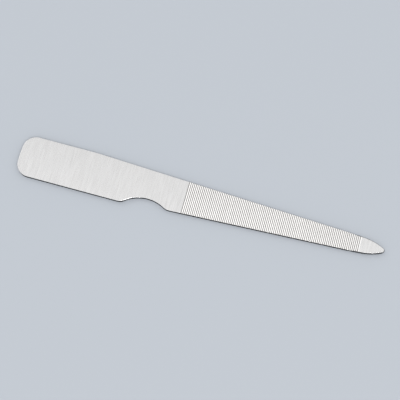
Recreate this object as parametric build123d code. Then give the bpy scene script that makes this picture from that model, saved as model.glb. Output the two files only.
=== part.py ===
from build123d import *

import math
import os

# A flat nail file, stamped in one piece from hard steel strip.
#
# A plain handle with rounded corners runs into a tapered blade with an ogive point. The lower edge
# has a scooped thumb rest between the two. Both faces of the blade carry straight file teeth, cut
# square across it and out over both edges, and the point in front of them is left smooth.
#
# Millimetres. x runs from the butt, the handle's end, to the point, y across the file and z up out
# of its face. The finished solid is moved so that its origin is on the underside, halfway along.

# Driving dimensions.
LENGTH = 130.3
HANDLE_HALF_WIDTH = 7.375
THICKNESS = 1.5
EDGE_RADIUS = 0.12  # the tumbled round along every edge of both faces

# Handle end.
CROWN_RADIUS = 41.4  # the butt is very slightly bowed
CORNER_RADIUS = 4.7

# Blade.
TAPER_START = 26.0
TAPER = math.radians(2.69)  # each edge's angle to the centreline
TAPER_BLEND_RADIUS = 60.0  # eases the upper edge from handle to taper
OGIVE_START = 122.0
OGIVE_RADIUS = 19.8

# Thumb rest, a circular scoop out of the lower edge.
SCOOP_X = 47.4
SCOOP_RADIUS = 12.36
SCOOP_FLOOR = -3.88  # y of its deepest point
SCOOP_HANDLE_BLEND_RADIUS = 3.6
SCOOP_BLADE_BLEND_RADIUS = 4.2

# File teeth, about 40 to the inch, leaning towards the point: each groove is steep on its butt side.
TOOTH_PITCH = 0.634
GROOVE_COUNT = 98
FIRST_GROOVE_X = 59.84  # the bottom of the groove nearest the butt
GROOVE_DEPTH = 0.18
GROOVE_STEEP_RUN = 0.15
GROOVE_BACK_RUN = 0.40
GROOVE_OVERRUN = 0.05  # how far a groove's cutting wedge stands above the face


def blade_half_width(x):
    """Half the blade's width on its straight taper."""
    return HANDLE_HALF_WIDTH - (x - TAPER_START) * math.tan(TAPER)


def point_edge(side):
    """The ogive arc and the nose arc that ends it, on the upper edge (side 1) or the lower (-1)."""
    centre_x = OGIVE_START - OGIVE_RADIUS * math.sin(TAPER)
    centre_y = blade_half_width(OGIVE_START) - OGIVE_RADIUS * math.cos(TAPER)

    # The nose is the circle on the centreline that ends at LENGTH and touches the ogive inside.
    reach = LENGTH - centre_x
    nose_radius = (OGIVE_RADIUS**2 - reach**2 - centre_y**2) / (2 * (OGIVE_RADIUS - reach))
    nose_x = LENGTH - nose_radius
    touch = math.atan2(-centre_y, nose_x - centre_x)
    start = math.pi / 2 - TAPER

    def on_ogive(angle):
        x = centre_x + OGIVE_RADIUS * math.cos(angle)
        y = centre_y + OGIVE_RADIUS * math.sin(angle)
        return (x, side * y)

    def on_nose(angle):
        return (nose_x + nose_radius * math.cos(angle), side * nose_radius * math.sin(angle))

    ogive = ThreePointArc(on_ogive(start), on_ogive((start + touch) / 2), on_ogive(touch))
    nose = ThreePointArc(on_nose(touch), on_nose(touch / 2), on_nose(0))
    return ogive + nose


def sharp_outline():
    """The plan shape with its corners still sharp and the thumb rest cut out."""
    crown_depth = CROWN_RADIUS - math.sqrt(CROWN_RADIUS**2 - HANDLE_HALF_WIDTH**2)
    butt = ThreePointArc((crown_depth, -HANDLE_HALF_WIDTH), (0, 0), (crown_depth, HANDLE_HALF_WIDTH))
    upper = Polyline(
        (crown_depth, HANDLE_HALF_WIDTH),
        (TAPER_START, HANDLE_HALF_WIDTH),
        (OGIVE_START, blade_half_width(OGIVE_START)),
    )
    # The handle keeps its full width below as far as the scoop, which swallows the step.
    lower = Polyline(
        (OGIVE_START, -blade_half_width(OGIVE_START)),
        (SCOOP_X, -blade_half_width(SCOOP_X)),
        (SCOOP_X, -HANDLE_HALF_WIDTH),
        (crown_depth, -HANDLE_HALF_WIDTH),
    )
    blade = make_face(butt + upper + point_edge(1) + point_edge(-1) + lower)
    return blade - Pos(SCOOP_X, SCOOP_FLOOR - SCOOP_RADIUS) * Circle(SCOOP_RADIUS)


def outline():
    """The plan shape with its corners rounded, each at the vertex nearest the point given."""
    roundings = [
        (0, HANDLE_HALF_WIDTH, CORNER_RADIUS),
        (0, -HANDLE_HALF_WIDTH, CORNER_RADIUS),
        (TAPER_START, HANDLE_HALF_WIDTH, TAPER_BLEND_RADIUS),
        (SCOOP_X - SCOOP_RADIUS, -HANDLE_HALF_WIDTH, SCOOP_HANDLE_BLEND_RADIUS),
        (SCOOP_X + SCOOP_RADIUS, -HANDLE_HALF_WIDTH, SCOOP_BLADE_BLEND_RADIUS),
    ]
    shape = sharp_outline()
    for x, y, radius in roundings:
        corner = shape.vertices().sort_by_distance((x, y))[0]
        shape = fillet(corner, radius)
    return shape


def blank():
    """The stamped and tumbled blank, before its teeth are cut."""
    plate = extrude(outline(), amount=THICKNESS)
    rims = plate.faces().filter_by(Axis.Z).edges()
    return fillet(rims, EDGE_RADIUS)


def groove():
    """The wedge that cuts a groove across the top face, with the groove's bottom at x = 0."""
    top = THICKNESS + GROOVE_OVERRUN
    widening = 1 + GROOVE_OVERRUN / GROOVE_DEPTH
    profile = Polyline(
        (0, THICKNESS - GROOVE_DEPTH),
        (GROOVE_BACK_RUN * widening, top),
        (-GROOVE_STEEP_RUN * widening, top),
        close=True,
    )
    return extrude(Plane.XZ * make_face(profile), amount=HANDLE_HALF_WIDTH, both=True)


def nail_file():
    """The finished file, with the same teeth on both faces."""
    upper_grooves = [
        Pos(FIRST_GROOVE_X + tooth * TOOTH_PITCH, 0, 0) * groove() for tooth in range(GROOVE_COUNT)
    ]
    mid_plane = Plane.XY.offset(THICKNESS / 2)
    lower_grooves = [mirror(cut, about=mid_plane) for cut in upper_grooves]
    cut = blank() - (upper_grooves + lower_grooves)
    return Pos(-LENGTH / 2, 0, 0) * cut.solid()


os.makedirs("parts", exist_ok=True)
export_step(nail_file(), "parts/nail_file.step")
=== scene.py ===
import math
import random

import bpy
import numpy as np
from mathutils import Matrix, Vector, noise


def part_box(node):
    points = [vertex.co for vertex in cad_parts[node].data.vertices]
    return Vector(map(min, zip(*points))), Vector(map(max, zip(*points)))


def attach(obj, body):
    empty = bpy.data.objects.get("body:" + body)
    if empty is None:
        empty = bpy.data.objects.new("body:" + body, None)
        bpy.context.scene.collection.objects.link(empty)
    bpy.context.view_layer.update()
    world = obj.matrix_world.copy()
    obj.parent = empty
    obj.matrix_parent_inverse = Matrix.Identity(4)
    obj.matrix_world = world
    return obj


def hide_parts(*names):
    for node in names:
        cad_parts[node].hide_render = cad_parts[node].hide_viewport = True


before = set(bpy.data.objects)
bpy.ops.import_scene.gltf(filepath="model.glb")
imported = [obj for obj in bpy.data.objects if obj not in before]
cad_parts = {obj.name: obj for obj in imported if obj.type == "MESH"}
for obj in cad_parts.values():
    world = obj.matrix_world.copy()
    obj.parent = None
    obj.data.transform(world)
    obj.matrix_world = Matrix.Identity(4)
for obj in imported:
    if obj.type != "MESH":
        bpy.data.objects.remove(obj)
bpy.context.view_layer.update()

# The looks of a flat stamped nail file: one finely divided mesh that stands for the CAD solid, with
# every tooth cut into both faces, three steel finishes, a pale floor, soft light and the camera.
#
# Metres, in the CAD frame: X along the file from the butt (the handle's end) to the point, Y across
# it, Z up out of its face. Plan distances called x are counted from the butt.

MM = 0.001
NODE = "nail_file"
BODY = "root"
SEED = 7

LOW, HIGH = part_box(NODE)
LENGTH = 2 * HIGH.x  # the origin is halfway along
HALF_WIDTH = (HIGH.y - LOW.y) / 2
THICKNESS = HIGH.z - LOW.z

# The plan, as the CAD solid has it.
CROWN_RADIUS = 41.4 * MM
CORNER_RADIUS = 4.7 * MM
TAPER_START = 26.0 * MM
TAPER = math.radians(2.69)
TAPER_BLEND_RADIUS = 60.0 * MM
OGIVE_START = 122.0 * MM
OGIVE_RADIUS = 19.8 * MM
SCOOP_RADIUS = 12.36 * MM
SCOOP_CENTRE = (47.4 * MM, -3.88 * MM - SCOOP_RADIUS)
SCOOP_HANDLE_BLEND_RADIUS = 3.6 * MM
SCOOP_BLADE_BLEND_RADIUS = 4.2 * MM
EDGE_RADIUS = 0.12 * MM

# The bevel that is ground round the point, on the edges of both faces: dull, with painted shade.
BEVEL_START = 117.5 * MM
BEVEL_FULL = 121.5 * MM
BEVEL_WIDTH = 0.22 * MM
BEVEL_DROP = 0.45 * MM

# The teeth, and how unevenly a real cutter leaves them.
TOOTH_PITCH = 0.634 * MM
GROOVE_COUNT = 98
FIRST_GROOVE_X = 59.84 * MM
GROOVE_DEPTH = 0.18 * MM
GROOVE_STEEP_RUN = 0.15 * MM
GROOVE_BACK_RUN = 0.40 * MM
PLACE_SCATTER = 0.003 * MM
DEPTH_SCATTER = 0.03  # share of the depth, from tooth to tooth
DEPTH_WAVE = 0.05  # share of the depth, along a tooth
DEPTH_WAVE_LENGTH = 1.6 * MM
CREST_DROP = 0.005 * MM  # the most that a crest is worn down
CREST_WAVE_LENGTH = 0.7 * MM

# How finely the mesh is divided.
PLAIN_STEP = 0.5 * MM  # along the plain parts
COLUMNS = 24  # across the file, and round the butt and the nose
CORNER_STEPS = 6  # along the half of a butt corner that belongs to a long edge
BUTT_SAMPLES = 60  # along each arc of the butt, before its points are spaced evenly
RIM_STEPS = 5  # round the edge radius
WALL_STEPS = 3  # up the side wall between the two rims
RIM_SUPPORT = 0.03 * MM  # a last ring on the flat, which keeps the rim's shading off the face
ROUNDING_SLACK = 0.01 * MM  # for comparing places that should be equal
WELD_DECIMALS = 9  # vertices that agree to the nanometre are one

# The finishes. Colours are linear RGBA, a grain is its length along X, Y and Z, a roughness runs from
# its smoothest to its dullest, and a relief is the height of the marks.
BRUSHED_DARK = (0.7, 0.696, 0.697, 1)
BRUSHED_LIGHT = (0.824, 0.819, 0.822, 1)
BRUSHED_FINE_GRAIN = (0.10 * MM, 5 * MM, 5 * MM)
BRUSHED_BROAD_GRAIN = (0.45 * MM, 9 * MM, 9 * MM)
BRUSHED_BROAD_SHARE = 0.4  # of the broad grain in the tone
BRUSHED_TONE_SPREAD = (0.38, 0.62)  # the tones that become the dark and the light colour
# Painted light: this share of the face's colour makes the steel lighter towards the scooped edge.
BRUSHED_PAINTED_LIGHT_SHARE = 0.33  # of the colour's range that is spent on the rise towards the scoop
BRUSHED_ROUGHNESS = (0.22, 0.34)
BRUSHED_RELIEF = 0.004 * MM
# The crests are painted lighter than the same steel on the face, a painted highlight.
CREST_DARK = (0.87, 0.855, 0.842, 1)
CREST_LIGHT = (0.955, 0.938, 0.924, 1)
# Painted shade in the groove bottoms, with some residue.
GROOVE_RESIDUE_AND_SHADE = (0.17, 0.163, 0.155, 1)
TEETH_GRAIN = (0.05 * MM, 1.2 * MM, 1.2 * MM)
TEETH_ROUGHNESS = (0.20, 0.34)
TEETH_RELIEF = 0.003 * MM
# The wall's colours are partly dull sheared steel and partly painted shade. Its black grazing tint
# keeps it dark from above, which is also painted shade.
WALL_DARK = (0.13, 0.13, 0.133, 1)
WALL_LIGHT = (0.24, 0.24, 0.24, 1)
WALL_GRAZING_TINT = (0.0, 0.0, 0.0, 1)  # none, so that the wall is dark when seen from above
WALL_GRAIN = (0.07 * MM, 0.07 * MM, 1.5 * MM)
WALL_ROUGHNESS = (0.22, 0.34)
WALL_RELIEF = 0.01 * MM


# Plan outline ------------------------------------------------------------------------------------


def taper_y(x):
    """Half the blade's width on its straight taper."""
    return HALF_WIDTH - (x - TAPER_START) * math.tan(TAPER)


def circle_y(x, centre, radius, side):
    """The upper (1) or lower (-1) y of a circle at x."""
    return centre[1] + side * math.sqrt(radius**2 - (x - centre[0]) ** 2)


def arc_points(centre, radius, start, end, count):
    """count + 1 points along an arc between two angles."""
    angles = np.linspace(start, end, count + 1)
    return np.column_stack((centre[0] + radius * np.cos(angles), centre[1] + radius * np.sin(angles)))


def ogive_centre():
    return (
        OGIVE_START - OGIVE_RADIUS * math.sin(TAPER),
        taper_y(OGIVE_START) - OGIVE_RADIUS * math.cos(TAPER),
    )


def nose_arc():
    """(centre, radius, half angle) of the arc that ends the file at LENGTH and touches both ogives."""
    ogive_x, ogive_y = ogive_centre()
    reach = LENGTH - ogive_x
    radius = (OGIVE_RADIUS**2 - reach**2 - ogive_y**2) / (2 * (OGIVE_RADIUS - reach))
    half_angle = math.atan2(-ogive_y, reach - radius)
    return (LENGTH - radius, 0.0), radius, half_angle


def corner_arc():
    """(centre, angle where it meets the crown) of the upper butt corner, which ends straight up."""
    centre_y = HALF_WIDTH - CORNER_RADIUS
    back = math.sqrt((CROWN_RADIUS - CORNER_RADIUS) ** 2 - centre_y**2)
    return (CROWN_RADIUS - back, centre_y), math.atan2(centre_y, -back)


def upper_y(x):
    """The upper edge past the butt corner: handle, blend, taper and ogive."""
    blend_x = TAPER_START - TAPER_BLEND_RADIUS * math.tan(TAPER / 2)
    if x < blend_x:
        return HALF_WIDTH
    if x < blend_x + TAPER_BLEND_RADIUS * math.sin(TAPER):
        return circle_y(x, (blend_x, HALF_WIDTH - TAPER_BLEND_RADIUS), TAPER_BLEND_RADIUS, 1)
    if x < OGIVE_START:
        return taper_y(x)
    return circle_y(x, ogive_centre(), OGIVE_RADIUS, 1)


def scoop_blend(slope, radius, side):
    """The round between the scoop and a straight lower edge of that slope, before (-1) or after (1).

    Returns (centre, x where it leaves the straight edge, x where it meets the scoop).
    """
    # Its centre lies on the edge moved in by the radius, y = slope * x + rise, and one radius
    # outside the scoop's circle, so its x solves a * x**2 + 2 * half_b * x + c = 0.
    scoop_x, scoop_y = SCOOP_CENTRE
    rise = -HALF_WIDTH - slope * TAPER_START + radius * math.hypot(1, slope)
    a = 1 + slope**2
    half_b = slope * (rise - scoop_y) - scoop_x
    c = scoop_x**2 + (rise - scoop_y) ** 2 - (SCOOP_RADIUS + radius) ** 2
    x = (-half_b + side * math.sqrt(half_b**2 - a * c)) / a
    on_edge = x + radius * slope / math.hypot(1, slope)
    on_scoop = scoop_x + (x - scoop_x) * SCOOP_RADIUS / (SCOOP_RADIUS + radius)
    return (x, slope * x + rise), on_edge, on_scoop


HEEL, HEEL_START, SCOOP_START = scoop_blend(0.0, SCOOP_HANDLE_BLEND_RADIUS, -1)
TOE, TOE_END, SCOOP_END = scoop_blend(math.tan(TAPER), SCOOP_BLADE_BLEND_RADIUS, 1)


def lower_y(x):
    """The lower edge past the butt corner: handle, thumb scoop, taper and ogive."""
    if x < HEEL_START:
        return -HALF_WIDTH
    if x < SCOOP_START:
        return circle_y(x, HEEL, SCOOP_HANDLE_BLEND_RADIUS, -1)
    if x < SCOOP_END:
        return circle_y(x, SCOOP_CENTRE, SCOOP_RADIUS, 1)
    if x < TOE_END:
        return circle_y(x, TOE, SCOOP_BLADE_BLEND_RADIUS, -1)
    return -upper_y(x)


# Stations along the file -------------------------------------------------------------------------


def plain_stations(start, end):
    """(x, depth, crisp) at even steps from start up to, but not at, end."""
    count = round((end - start) / PLAIN_STEP)
    return [(x, 0.0, False) for x in np.linspace(start, end, count, endpoint=False)]


def groove_stations():
    """(x, depth under the face, whether a sharp line runs across the file) through every tooth."""
    scatter = random.Random(SEED)
    stations = []
    for tooth in range(GROOVE_COUNT):
        bottom = FIRST_GROOVE_X + tooth * TOOTH_PITCH + scatter.uniform(-1, 1) * PLACE_SCATTER
        depth = GROOVE_DEPTH * (1 + scatter.uniform(-1, 1) * DEPTH_SCATTER)
        stations += [
            (bottom - GROOVE_STEEP_RUN, 0.0, True),
            (bottom, depth, True),
            (bottom + GROOVE_BACK_RUN / 2, depth / 2, False),
            (bottom + GROOVE_BACK_RUN, 0.0, True),
        ]
    return stations


def edge_stations():
    """Every station of a long edge, from the end of the butt corner to the nose."""
    centre, radius, half_angle = nose_arc()
    nose_x = centre[0] + radius * math.cos(half_angle)
    grooves = groove_stations()
    handle = plain_stations(corner_arc()[0][0], grooves[0][0])
    point = plain_stations(grooves[-1][0] + PLAIN_STEP, nose_x)
    return handle + grooves + point + [(nose_x, 0.0, False)]


# The mesh ----------------------------------------------------------------------------------------


def resample(points, count):
    """count + 1 points evenly spaced along a polyline."""
    steps = np.linalg.norm(np.diff(points, axis=0), axis=1)
    run = np.concatenate(([0], np.cumsum(steps)))
    even = np.linspace(0, run[-1], count + 1)
    return np.column_stack([np.interp(even, run, points[:, axis]) for axis in (0, 1)])


def butt_points():
    """From the middle of the lower butt corner, over the crown, to the middle of the upper one."""
    centre, crown_angle = corner_arc()
    middle = (crown_angle + math.pi / 2) / 2
    upper = arc_points(centre, CORNER_RADIUS, crown_angle, middle, BUTT_SAMPLES)
    lower = upper[::-1] * (1, -1)
    crown_start = 2 * math.pi - crown_angle
    crown = arc_points((CROWN_RADIUS, 0), CROWN_RADIUS, crown_start, crown_angle, BUTT_SAMPLES)
    return resample(np.concatenate((lower, crown[1:-1], upper)), COLUMNS)


def outline():
    """(loop, depth, line): the plan outline, anticlockwise from the lower butt corner's middle.

    depth is each point's groove depth, and line the number of the sharp tooth line that leaves it,
    or -1.
    """
    centre, crown_angle = corner_arc()
    middle = (crown_angle + math.pi / 2) / 2
    corner = arc_points(centre, CORNER_RADIUS, middle, math.pi / 2, CORNER_STEPS)
    stations = edge_stations()
    x = np.array([station[0] for station in stations])
    upper = np.concatenate((corner[:-1], np.column_stack((x, [upper_y(v) for v in x]))))
    lower = np.concatenate((corner[:-1] * (1, -1), np.column_stack((x, [lower_y(v) for v in x]))))
    nose_centre, nose_radius, half_angle = nose_arc()
    tip = arc_points(nose_centre, nose_radius, -half_angle, half_angle, COLUMNS)
    loop = np.concatenate((lower[:-1], tip[:-1], upper[:0:-1], butt_points()[:0:-1]))

    plain = np.zeros(CORNER_STEPS)
    depth = np.concatenate((plain, [station[1] for station in stations]))
    crisp = np.concatenate((plain, [station[2] for station in stations]))
    line = np.where(crisp, np.arange(len(crisp)), -1)
    ends = np.zeros(COLUMNS)
    depth = np.concatenate((depth[:-1], ends, depth[:0:-1], ends))
    line = np.concatenate((line[:-1], ends - 1, line[:0:-1], ends - 1)).astype(int)
    return loop, depth, line


def tooth_span(loop, line):
    """x of the first and of the last sharp tooth line."""
    toothed = loop[line >= 0, 0]
    return toothed.min(), toothed.max()


def inward_normals(loop, line):
    """Unit normals into the outline. Between tooth lines they run straight across the file."""
    ahead = np.roll(loop, -1, axis=0) - np.roll(loop, 1, axis=0)
    normals = np.column_stack((-ahead[:, 1], ahead[:, 0]))
    normals /= np.linalg.norm(normals, axis=1)[:, None]
    first, last = tooth_span(loop, line)
    among_teeth = (loop[:, 0] >= first) & (loop[:, 0] <= last)
    normals[among_teeth] = np.column_stack(
        (np.zeros(among_teeth.sum()), np.sign(normals[among_teeth, 1]))
    )
    return normals


def four_sides(ring):
    """The lower edge, nose, upper edge and butt of a ring, each in rising x or rising y."""
    rows = len(ring) // 2 - COLUMNS
    closed = np.concatenate((ring, ring[:1]))
    corners = (0, rows, rows + COLUMNS, 2 * rows + COLUMNS, len(ring))
    lower, nose, upper, butt = (closed[a : b + 1] for a, b in zip(corners, corners[1:]))
    return lower, nose, upper[::-1], butt[::-1]


def fill(ring):
    """A grid of rows across the file whose border is the ring."""
    lower, nose, upper, butt = four_sides(ring)
    share = np.linspace(0, 1, COLUMNS + 1)
    share = share.reshape((1, -1) + (1,) * (ring.ndim - 1))
    grid = lower[:, None] * (1 - share) + upper[:, None] * share
    grid[0] = butt
    grid[-1] = nose
    return grid


def wobble(x, y, length):
    """Smooth noise between about -1 and 1 with that wavelength."""
    return np.array([noise.noise((a / length, b / length, SEED)) for a, b in zip(x, y)])


def face_height(plan, depth):
    """Height of the upper face at plan points, with the teeth's unevenness."""
    x, y = plan.reshape(-1, 2).T
    depth = depth.reshape(-1)
    waved = depth * (1 + DEPTH_WAVE * wobble(x, y, DEPTH_WAVE_LENGTH))
    first = FIRST_GROOVE_X - GROOVE_STEEP_RUN
    last = FIRST_GROOVE_X + (GROOVE_COUNT - 1) * TOOTH_PITCH + GROOVE_BACK_RUN
    worn = np.where((x > first) & (x < last), CREST_DROP * np.abs(wobble(x, y, CREST_WAVE_LENGTH)), 0)
    return (THICKNESS - waved - worn).reshape(plan.shape[:-1])


def edge_profile(corner):
    """(inset from the outline, height) of each ring round the edge, from the underside to the top.

    corner is one face's own edge, as (inset, depth under the face) from the side wall inwards.
    """
    upper = corner + [(corner[-1][0] + RIM_SUPPORT, 0.0)]
    wall_foot = corner[0][1]
    wall_top = THICKNESS - wall_foot
    wall = np.linspace(wall_foot, wall_top, WALL_STEPS + 1)[1:-1]
    lower = upper[::-1] + [(0.0, height) for height in wall]
    return np.array(lower + [(inset, THICKNESS - depth) for inset, depth in upper])


def edge_rings(loop):
    """edge_profile at each place of the outline: rounded, and going over to the bevel at the point."""
    angles = np.linspace(0, math.pi / 2, RIM_STEPS + 1)
    rounded = [(EDGE_RADIUS * (1 - math.cos(a)), EDGE_RADIUS * (1 - math.sin(a))) for a in angles]
    shares = np.linspace(0, 1, RIM_STEPS + 1)
    bevelled = [(BEVEL_WIDTH * share, BEVEL_DROP * (1 - share)) for share in shares]
    bevel = np.clip((loop[:, 0] - BEVEL_START) / (BEVEL_FULL - BEVEL_START), 0, 1)[:, None, None]
    return edge_profile(rounded) * (1 - bevel) + edge_profile(bevelled) * bevel


class Patches:
    """Grids of points, gathered into one list of vertices and faces."""

    def __init__(self):
        self.points = []
        self.depth = []
        self.line = []
        self.faces = []
        self.finish = []
        self.count = 0

    def add(self, points, depth, line, finish):
        """Adds a grid of points with its faces. finish is one material number per face."""
        rows, columns = points.shape[:2]
        number = self.count + np.arange(rows * columns).reshape(rows, columns)
        corners = (number[:-1, :-1], number[1:, :-1], number[1:, 1:], number[:-1, 1:])
        self.faces.append(np.stack(corners, axis=-1).reshape(-1, 4))
        self.points.append(points.reshape(-1, 3))
        self.depth.append(depth.reshape(-1))
        self.line.append(line.reshape(-1))
        self.finish.append(np.broadcast_to(finish, (rows - 1, columns - 1)).reshape(-1))
        self.count += rows * columns

    def welded(self):
        """(points, depth, line, faces, finish) with the vertices that the grids share joined."""
        points = np.concatenate(self.points)
        _, first, number = np.unique(
            np.round(points, WELD_DECIMALS), axis=0, return_index=True, return_inverse=True
        )
        faces = number.reshape(-1)[np.concatenate(self.faces)]
        depth = np.concatenate(self.depth)[first]
        line = np.concatenate(self.line)[first]
        return points[first], depth, line, faces, np.concatenate(self.finish)


FACE, TEETH, WALL = range(3)  # the order of the file's materials


def closed_rings(values, levels):
    """One value for each place of the outline, closed up and repeated on every ring."""
    return np.repeat(np.concatenate((values, values[:1]))[:, None], levels, axis=1)


def add_rim(patches, loop, depth, line, normals, profile):
    """Adds the rounds or bevels and the side wall, all round the file."""
    rings = []
    for inset, height in zip(profile[..., 0].T, profile[..., 1].T):
        plan = loop + normals * inset[:, None]
        top = face_height(plan, depth)
        rings.append(np.column_stack((plan, np.clip(height, THICKNESS - top, top))))
    rim = np.stack(rings, axis=1)
    rim = np.concatenate((rim, rim[:1]))

    first, last = tooth_span(loop, line)
    among_teeth = (loop[:, :1] >= first) & (loop[:, :1] < last)
    levels = len(rings)
    band = np.arange(levels - 1)
    on_wall = (band > RIM_STEPS) & (band < levels - 2 - RIM_STEPS)
    on_bevel = (band > 0) & (band < levels - 2) & (loop[:, :1] > (BEVEL_START + BEVEL_FULL) / 2)
    finish = np.where(among_teeth, TEETH, FACE)
    # The wall and the point's bevel take the dark wall finish, which is partly painted shade.
    finish = np.where(on_wall | on_bevel, WALL, finish)
    patches.add(rim, closed_rings(depth, levels), closed_rings(line, levels), finish)


def add_faces(patches, loop, depth, line, inner):
    """Adds the two faces, inside the innermost ring of the rim."""
    plan = fill(inner)
    face_depth = fill(depth)
    face_line = fill(line).round().astype(int)
    top = face_height(plan, face_depth)

    first, last = tooth_span(loop, line)
    row_x = plan[:-1, :1, 0]
    finish = np.where((row_x >= first - ROUNDING_SLACK) & (row_x < last), TEETH, FACE)
    upper = np.concatenate((plan, top[..., None]), axis=-1)
    lower = np.concatenate((plan, (THICKNESS - top)[..., None]), axis=-1)
    patches.add(upper, face_depth, face_line, finish)
    patches.add(lower[:, ::-1], face_depth[:, ::-1], face_line[:, ::-1], finish)


def file_patches():
    """The whole file: the rim and wall all round, and the two faces."""
    loop, depth, line = outline()
    normals = inward_normals(loop, line)
    profile = edge_rings(loop)
    patches = Patches()
    add_rim(patches, loop, depth, line, normals, profile)
    add_faces(patches, loop, depth, line, loop + normals * profile[:, -1, :1])
    return patches


def make_file():
    """The file's one mesh, with its groove depths and its sharp tooth lines marked."""
    points, depth, line, faces, finish = file_patches().welded()
    points = points + (-LENGTH / 2, 0, LOW.z)
    mesh = bpy.data.meshes.new("nail_file_body")
    mesh.from_pydata(points.tolist(), [], faces.tolist())
    mesh.polygons.foreach_set("material_index", finish.astype(np.int32))
    mesh.polygons.foreach_set("use_smooth", np.ones(len(faces), bool))
    groove = mesh.attributes.new("groove", "FLOAT", "POINT")
    groove.data.foreach_set("value", (depth / GROOVE_DEPTH).astype(np.float32))
    ends = np.zeros(len(mesh.edges) * 2, np.int32)
    mesh.edges.foreach_get("vertices", ends)
    a, b = line[ends.reshape(-1, 2)].T
    sharp = mesh.attributes.new("sharp_edge", "BOOLEAN", "EDGE")
    sharp.data.foreach_set("value", (a == b) & (a >= 0))
    mesh.update()
    made = bpy.data.objects.new("nail_file_body", mesh)
    bpy.context.scene.collection.objects.link(made)
    return made


# Materials ---------------------------------------------------------------------------------------


def new_material(name):
    """(material, its node tree, its Principled shader)."""
    material = bpy.data.materials.new(name)
    material.use_nodes = True
    tree = material.node_tree
    return material, tree, tree.nodes["Principled BSDF"]


def new_steel(name):
    """A new material that is bare metal."""
    material, tree, shader = new_material(name)
    shader.inputs["Metallic"].default_value = 1.0
    return material, tree, shader


def stretched_noise(tree, lengths, detail=3):
    """Noise whose grain is that many metres long along X, Y and Z. Returns its factor socket."""
    coordinates = tree.nodes.new("ShaderNodeTexCoord")
    mapping = tree.nodes.new("ShaderNodeMapping")
    mapping.inputs["Scale"].default_value = [1 / length for length in lengths]
    grain = tree.nodes.new("ShaderNodeTexNoise")
    grain.inputs["Scale"].default_value = 1.0
    grain.inputs["Detail"].default_value = detail
    grain.inputs["Roughness"].default_value = 0.55
    tree.links.new(coordinates.outputs["Object"], mapping.inputs["Vector"])
    tree.links.new(mapping.outputs["Vector"], grain.inputs["Vector"])
    return grain.outputs["Fac"]


def coordinate(tree, system, axis):
    """One axis of a texture coordinate, as a socket."""
    coordinates = tree.nodes.new("ShaderNodeTexCoord")
    split = tree.nodes.new("ShaderNodeSeparateXYZ")
    tree.links.new(coordinates.outputs[system], split.inputs["Vector"])
    return split.outputs[axis]


def remap(tree, value, low, high, from_low=0.3, from_high=0.7):
    """value, spread over from_low to from_high, as a number from low to high."""
    node = tree.nodes.new("ShaderNodeMapRange")
    node.inputs["From Min"].default_value = from_low
    node.inputs["From Max"].default_value = from_high
    node.inputs["To Min"].default_value = low
    node.inputs["To Max"].default_value = high
    tree.links.new(value, node.inputs["Value"])
    return node.outputs["Result"]


def feed(tree, value, socket):
    """Links value to an input if it is itself a socket, and otherwise sets it there."""
    if isinstance(value, bpy.types.NodeSocket):
        tree.links.new(value, socket)
    else:
        socket.default_value = value


def mix_colours(tree, factor, first, second):
    """Two colours, each RGBA or a socket, blended by a factor socket."""
    node = tree.nodes.new("ShaderNodeMix")
    node.data_type = "RGBA"
    feed(tree, first, node.inputs["A"])
    feed(tree, second, node.inputs["B"])
    tree.links.new(factor, node.inputs["Factor"])
    return node.outputs["Result"]


def mix_values(tree, share, first, second):
    """Two number sockets blended, with that share of the second."""
    node = tree.nodes.new("ShaderNodeMix")
    node.inputs["Factor"].default_value = share
    tree.links.new(first, node.inputs["A"])
    tree.links.new(second, node.inputs["B"])
    return node.outputs["Result"]


def bump(tree, height, distance):
    """A bump of that height in metres."""
    node = tree.nodes.new("ShaderNodeBump")
    node.inputs["Strength"].default_value = 1.0
    node.inputs["Distance"].default_value = distance
    tree.links.new(height, node.inputs["Height"])
    return node.outputs["Normal"]


def painted_light_towards_scoop(tree):
    """A number that rises from 0 at the plain long edge to 1 at the edge with the scoop; the steel's
    colours follow it as painted light.
    """
    return remap(tree, coordinate(tree, "Object", "Y"), 1, 0, -HALF_WIDTH, HALF_WIDTH)


def brushed_face():
    """Satin steel, brushed straight across the file, with painted light that makes it slightly
    brighter towards the scooped edge.
    """
    material, tree, shader = new_steel("brushed_face")
    fine = stretched_noise(tree, BRUSHED_FINE_GRAIN, detail=4)
    broad = stretched_noise(tree, BRUSHED_BROAD_GRAIN)
    tone = mix_values(tree, BRUSHED_BROAD_SHARE, fine, broad)
    streaks = remap(tree, tone, 0, 1, *BRUSHED_TONE_SPREAD)
    # Painted light: the streaks' tone is mixed with a rise in brightness towards the scooped edge.
    shade = mix_values(tree, BRUSHED_PAINTED_LIGHT_SHARE, streaks, painted_light_towards_scoop(tree))
    colour = mix_colours(tree, shade, BRUSHED_DARK, BRUSHED_LIGHT)
    tree.links.new(colour, shader.inputs["Base Color"])
    tree.links.new(remap(tree, fine, *BRUSHED_ROUGHNESS), shader.inputs["Roughness"])
    tree.links.new(bump(tree, tone, BRUSHED_RELIEF), shader.inputs["Normal"])
    return material


def cut_teeth():
    """The same steel where the teeth are cut, with light and shade painted in: crests lighter than the
    face's steel, a painted highlight, and groove bottoms dark and warm, painted shade with some
    residue.
    """
    material, tree, shader = new_steel("cut_teeth")
    groove = tree.nodes.new("ShaderNodeAttribute")
    groove.attribute_name = "groove"
    # Painted light: the crests' colour gets lighter towards the scooped edge.
    crest = mix_colours(tree, painted_light_towards_scoop(tree), CREST_DARK, CREST_LIGHT)
    # Painted shade: the colour darkens with the groove's depth, from the crest to the groove bottom.
    colour = mix_colours(tree, groove.outputs["Fac"], crest, GROOVE_RESIDUE_AND_SHADE)
    tree.links.new(colour, shader.inputs["Base Color"])
    grain = stretched_noise(tree, TEETH_GRAIN)
    tree.links.new(remap(tree, grain, *TEETH_ROUGHNESS), shader.inputs["Roughness"])
    tree.links.new(bump(tree, grain, TEETH_RELIEF), shader.inputs["Normal"])
    return material


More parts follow.
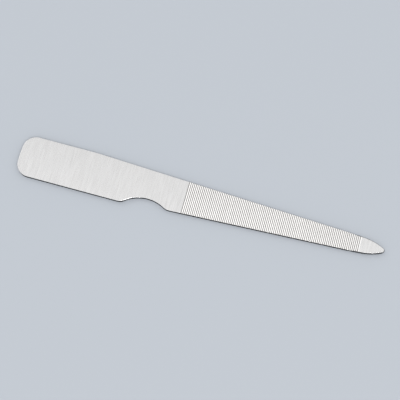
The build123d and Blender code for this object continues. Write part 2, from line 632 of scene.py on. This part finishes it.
def sheared_and_shaded_wall():
    """The punched side wall: dull, with fine upright shear marks, and painted darker as shade."""
    material, tree, shader = new_steel("sheared_and_shaded_wall")
    shader.inputs["Specular Tint"].default_value = WALL_GRAZING_TINT
    marks = stretched_noise(tree, WALL_GRAIN)
    colour = mix_colours(tree, remap(tree, marks, 0, 1), WALL_DARK, WALL_LIGHT)
    tree.links.new(colour, shader.inputs["Base Color"])
    tree.links.new(remap(tree, marks, *WALL_ROUGHNESS), shader.inputs["Roughness"])
    tree.links.new(bump(tree, marks, WALL_RELIEF), shader.inputs["Normal"])
    return material


# Stage -------------------------------------------------------------------------------------------

FLOOR_SIZE = 6.0
FLOOR_COLOUR = (0.418, 0.444, 0.48, 1)
SKY_OVERHEAD = (0.95, 0.948, 0.94, 1)
SKY_AT_HORIZON = (0.55, 0.585, 0.635, 1)

# The camera looks down on the file from just off square, turned so that the file runs downhill to
# the right.
SENSOR = 36.0  # this and the lens are in millimetres, as a camera has them
LENS = 87.3
CAMERA_DISTANCE = 334.5 * MM
CAMERA_TILT = math.radians(15.98)  # off straight down
CAMERA_HEADING = math.radians(12.38)  # of the tilt's level axis from X
CAMERA_ROLL = math.radians(-3.06)
AIM = Vector((-0.23 * MM, 0.487 * MM, 0))  # from the middle of the upper face


def floor_paint():
    """Plain matt paint."""
    material, tree, shader = new_material("floor_paint")
    shader.inputs["Base Color"].default_value = FLOOR_COLOUR
    shader.inputs["Roughness"].default_value = 0.9
    shader.inputs["Specular IOR Level"].default_value = 0.1
    return material


def make_floor():
    """A square floor under the file."""
    mesh = bpy.data.meshes.new("floor")
    half = FLOOR_SIZE / 2
    corners = [(-half, -half, 0), (half, -half, 0), (half, half, 0), (-half, half, 0)]
    mesh.from_pydata(corners, [], [(0, 1, 2, 3)])
    floor = bpy.data.objects.new("floor", mesh)
    floor.location.z = LOW.z
    floor.data.materials.append(floor_paint())
    bpy.context.scene.collection.objects.link(floor)
    return floor


def softbox(name, azimuth, elevation, distance, size, power):
    """A square area light aimed at the file. Azimuth 0 is +X and 90 is +Y, in degrees."""
    data = bpy.data.lights.new(name, "AREA")
    data.shape = "SQUARE"
    data.size = size
    data.energy = power
    light = bpy.data.objects.new(name, data)
    around, up = math.radians(azimuth), math.radians(elevation)
    away = Vector((math.cos(around) * math.cos(up), math.sin(around) * math.cos(up), math.sin(up)))
    light.location = away * distance
    light.rotation_euler = away.to_track_quat("Z", "Y").to_euler()
    bpy.context.scene.collection.objects.link(light)


def make_world():
    """A dome of light that fades from overhead to the horizon."""
    world = bpy.data.worlds.new("studio")
    world.use_nodes = True
    tree = world.node_tree
    sky = mix_colours(tree, coordinate(tree, "Generated", "Z"), SKY_AT_HORIZON, SKY_OVERHEAD)
    tree.links.new(sky, tree.nodes["Background"].inputs["Color"])
    bpy.context.scene.world = world


def make_camera():
    """The camera, placed by its tilt, heading and roll about the point that it aims at."""
    data = bpy.data.cameras.new("camera")
    data.sensor_width = SENSOR
    data.lens = LENS
    data.clip_start = 10 * MM
    camera = bpy.data.objects.new("camera", data)
    level = Vector((math.cos(CAMERA_HEADING), math.sin(CAMERA_HEADING), 0))
    uphill = Vector((-math.sin(CAMERA_HEADING), math.cos(CAMERA_HEADING), 0))
    upright = uphill * math.cos(CAMERA_TILT) + Vector((0, 0, math.sin(CAMERA_TILT)))
    back = level.cross(upright)
    right = level * math.cos(CAMERA_ROLL) - upright * math.sin(CAMERA_ROLL)
    up = level * math.sin(CAMERA_ROLL) + upright * math.cos(CAMERA_ROLL)
    aim = (LOW + HIGH) / 2 + AIM
    aim.z = HIGH.z
    place = Matrix((right, up, back)).transposed().to_4x4()
    place.translation = aim + back * CAMERA_DISTANCE
    camera.matrix_world = place
    bpy.context.scene.collection.objects.link(camera)
    bpy.context.scene.camera = camera


def main():
    """Builds the file and its stage."""
    made = make_file()
    for material in (brushed_face(), cut_teeth(), sheared_and_shaded_wall()):
        made.data.materials.append(material)
    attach(made, BODY)
    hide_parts(NODE)
    make_floor()
    softbox("front", azimuth=-50, elevation=64, distance=3.0, size=1.0, power=46.5)
    softbox("side", azimuth=160, elevation=36, distance=1.5, size=0.8, power=2.33)
    make_world()
    bpy.context.scene.view_settings.view_transform = "Standard"
    make_camera()


main()
